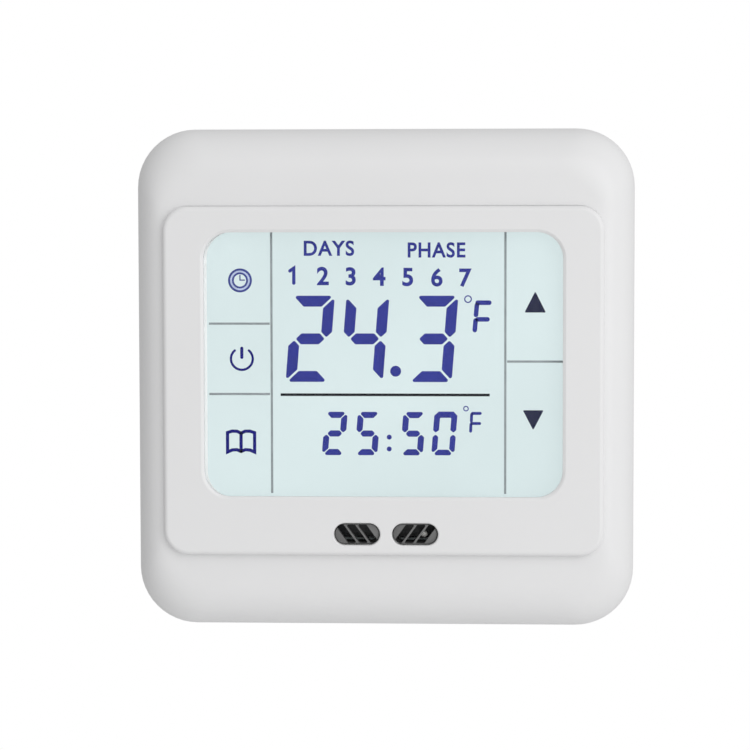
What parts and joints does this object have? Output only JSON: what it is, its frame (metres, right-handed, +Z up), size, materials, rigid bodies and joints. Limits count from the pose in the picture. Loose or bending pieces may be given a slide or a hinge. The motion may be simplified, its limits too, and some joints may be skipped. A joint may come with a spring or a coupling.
{
  "type": "wall thermostat",
  "caption": "Flush-mounted square wall thermostat: raised touch display in a cushion-shaped outer frame, steel mounting yoke and a rear housing with relay and screw terminals.",
  "frame": {"origin": "centre of the wall plane, where the back of the outer frame and of the mounting yoke lie", "axes": "+Z up, +Y into the wall box, -Y out of the screen towards the room, +X to the right as seen from the room"},
  "size_m": [0.086, 0.041, 0.086],
  "materials": {
    "white_plastic": "warm white moulded ABS, satin gloss",
    "grille_plastic": "dark grey moulded plastic",
    "touch_film": "clear resistive touch film on glass, low glare",
    "foam": "thin black foam gasket",
    "display_glass": "pale cyan backlit liquid crystal display, smooth",
    "holder_plastic": "moulded white plastic",
    "backlight_acrylic": "clear acrylic light guide with a frosted face",
    "zebra_rubber": "striped conductive silicone strip",
    "ribbon_film": "amber polyimide film",
    "circuit_board": "green solder-masked glass fibre board",
    "chip_black": "black moulded plastic",
    "bright_steel": "bright nickel-plated steel",
    "zinc_steel": "zinc-plated sheet steel",
    "sensor_bead": "pale epoxy bead on tinned leads",
    "inner_plastic": "fine-grained white plastic",
    "housing_plastic": "fine-grained white flame-retardant plastic",
    "relay_blue": "blue moulded relay case",
    "copper_winding": "enamelled copper",
    "transformer_tape": "dark ferrite wrapped in yellow tape",
    "capacitor_sleeve": "shrink sleeve with a bare aluminium end",
    "film_box": "yellow moulded box",
    "disc_epoxy": "dipped blue epoxy",
    "fuse_case": "brown-black moulded fuse case",
    "terminal_plastic": "black moulded terminal housing",
    "terminal_brass": "tinned brass bar"
  },
  "bodies": {
    "base": {"power_board": "circuit_board", "pin_socket": "chip_black", "relay_base": "chip_black", "relay_yoke": "bright_steel", "housing_screw_1": "bright_steel", "housing_screw_2": "bright_steel", "housing_screw_3": "bright_steel", "housing_screw_4": "bright_steel", "mounting_yoke": "zinc_steel", "base_cover": "inner_plastic", "rear_housing": "housing_plastic", "relay_case": "relay_blue", "relay_coil": "copper_winding", "relay_fixed_contact": "copper_winding", "supply_transformer": "transformer_tape", "reservoir_capacitor": "capacitor_sleeve", "filter_capacitor": "film_box", "surge_suppressor": "disc_epoxy", "line_fuse": "fuse_case", "terminal_block": "terminal_plastic", "terminal_bar_1": "terminal_brass", "terminal_bar_2": "terminal_brass", "terminal_bar_3": "terminal_brass", "terminal_bar_4": "terminal_brass", "terminal_bar_5": "terminal_brass", "terminal_bar_6": "terminal_brass"},
    "outer_frame": {"outer_frame": "white_plastic"},
    "front_module": {"front_bezel": "white_plastic", "vent_grille_left": "grille_plastic", "vent_grille_right": "grille_plastic", "touch_panel": "touch_film", "display_gasket": "foam", "lcd_panel": "display_glass", "lcd_holder": "holder_plastic", "backlight_guide": "backlight_acrylic", "contact_strip": "zebra_rubber", "touch_ribbon": "ribbon_film", "display_board": "circuit_board", "microcontroller": "chip_black", "backup_cell": "bright_steel", "clock_crystal": "bright_steel", "air_sensor": "sensor_bead", "header_pins": "chip_black", "display_cover": "inner_plastic", "cover_screw_left": "bright_steel", "cover_screw_right": "bright_steel"},
    "relay_armature": {"relay_armature": "bright_steel"},
    "terminal_screw_1": {"terminal_screw_1": "zinc_steel"},
    "clamp_cage_1": {"clamp_cage_1": "zinc_steel"},
    "terminal_screw_2": {"terminal_screw_2": "zinc_steel"},
    "clamp_cage_2": {"clamp_cage_2": "zinc_steel"},
    "terminal_screw_3": {"terminal_screw_3": "zinc_steel"},
    "clamp_cage_3": {"clamp_cage_3": "zinc_steel"},
    "terminal_screw_4": {"terminal_screw_4": "zinc_steel"},
    "clamp_cage_4": {"clamp_cage_4": "zinc_steel"},
    "terminal_screw_5": {"terminal_screw_5": "zinc_steel"},
    "clamp_cage_5": {"clamp_cage_5": "zinc_steel"},
    "terminal_screw_6": {"terminal_screw_6": "zinc_steel"},
    "clamp_cage_6": {"clamp_cage_6": "zinc_steel"}
  },
  "joints": [
    {"name": "frame_pull_off", "type": "slide", "parent": "base", "child": "outer_frame", "axis": [0, -1, 0], "range_m": [0, 0.02]},
    {"name": "front_pull_off", "type": "slide", "parent": "outer_frame", "child": "front_module", "axis": [0, -1, 0], "range_m": [0, 0.025]},
    {"name": "armature_tilt", "type": "hinge", "parent": "base", "child": "relay_armature", "pos_m": [-0.0185, 0.0191, 0.0096], "axis": [0, 0, -1], "range_deg": [0, 3.6], "stiffness_Nm_per_rad": 0.02, "springref_deg": -5.73},
    {"name": "terminal_screw_1_turn", "type": "hinge", "parent": "base", "child": "terminal_screw_1", "pos_m": [-0.015, 0.0217, -0.0172], "axis": [0, -1, 0], "range_deg": [0, 1584.2]},
    {"name": "clamp_cage_1_rise", "type": "slide", "parent": "base", "child": "clamp_cage_1", "axis": [0, 1, 0], "range_m": [0, 0.0022]},
    {"name": "terminal_screw_2_turn", "type": "hinge", "parent": "base", "child": "terminal_screw_2", "pos_m": [-0.009, 0.0217, -0.0172], "axis": [0, -1, 0], "range_deg": [0, 1584.2]},
    {"name": "clamp_cage_2_rise", "type": "slide", "parent": "base", "child": "clamp_cage_2", "axis": [0, 1, 0], "range_m": [0, 0.0022]},
    {"name": "terminal_screw_3_turn", "type": "hinge", "parent": "base", "child": "terminal_screw_3", "pos_m": [-0.003, 0.0217, -0.0172], "axis": [0, -1, 0], "range_deg": [0, 1584.2]},
    {"name": "clamp_cage_3_rise", "type": "slide", "parent": "base", "child": "clamp_cage_3", "axis": [0, 1, 0], "range_m": [0, 0.0022]},
    {"name": "terminal_screw_4_turn", "type": "hinge", "parent": "base", "child": "terminal_screw_4", "pos_m": [0.003, 0.0217, -0.0172], "axis": [0, -1, 0], "range_deg": [0, 1584.2]},
    {"name": "clamp_cage_4_rise", "type": "slide", "parent": "base", "child": "clamp_cage_4", "axis": [0, 1, 0], "range_m": [0, 0.0022]},
    {"name": "terminal_screw_5_turn", "type": "hinge", "parent": "base", "child": "terminal_screw_5", "pos_m": [0.009, 0.0217, -0.0172], "axis": [0, -1, 0], "range_deg": [0, 1584.2]},
    {"name": "clamp_cage_5_rise", "type": "slide", "parent": "base", "child": "clamp_cage_5", "axis": [0, 1, 0], "range_m": [0, 0.0022]},
    {"name": "terminal_screw_6_turn", "type": "hinge", "parent": "base", "child": "terminal_screw_6", "pos_m": [0.015, 0.0217, -0.0172], "axis": [0, -1, 0], "range_deg": [0, 1584.2]},
    {"name": "clamp_cage_6_rise", "type": "slide", "parent": "base", "child": "clamp_cage_6", "axis": [0, 1, 0], "range_m": [0, 0.0022]}
  ],
  "couplings": [
    {"joint": "terminal_screw_1_turn", "follows": "clamp_cage_1_rise", "rad_per_m": 12566},
    {"joint": "terminal_screw_2_turn", "follows": "clamp_cage_2_rise", "rad_per_m": 12566},
    {"joint": "terminal_screw_3_turn", "follows": "clamp_cage_3_rise", "rad_per_m": 12566},
    {"joint": "terminal_screw_4_turn", "follows": "clamp_cage_4_rise", "rad_per_m": 12566},
    {"joint": "terminal_screw_5_turn", "follows": "clamp_cage_5_rise", "rad_per_m": 12566},
    {"joint": "terminal_screw_6_turn", "follows": "clamp_cage_6_rise", "rad_per_m": 12566}
  ]
}
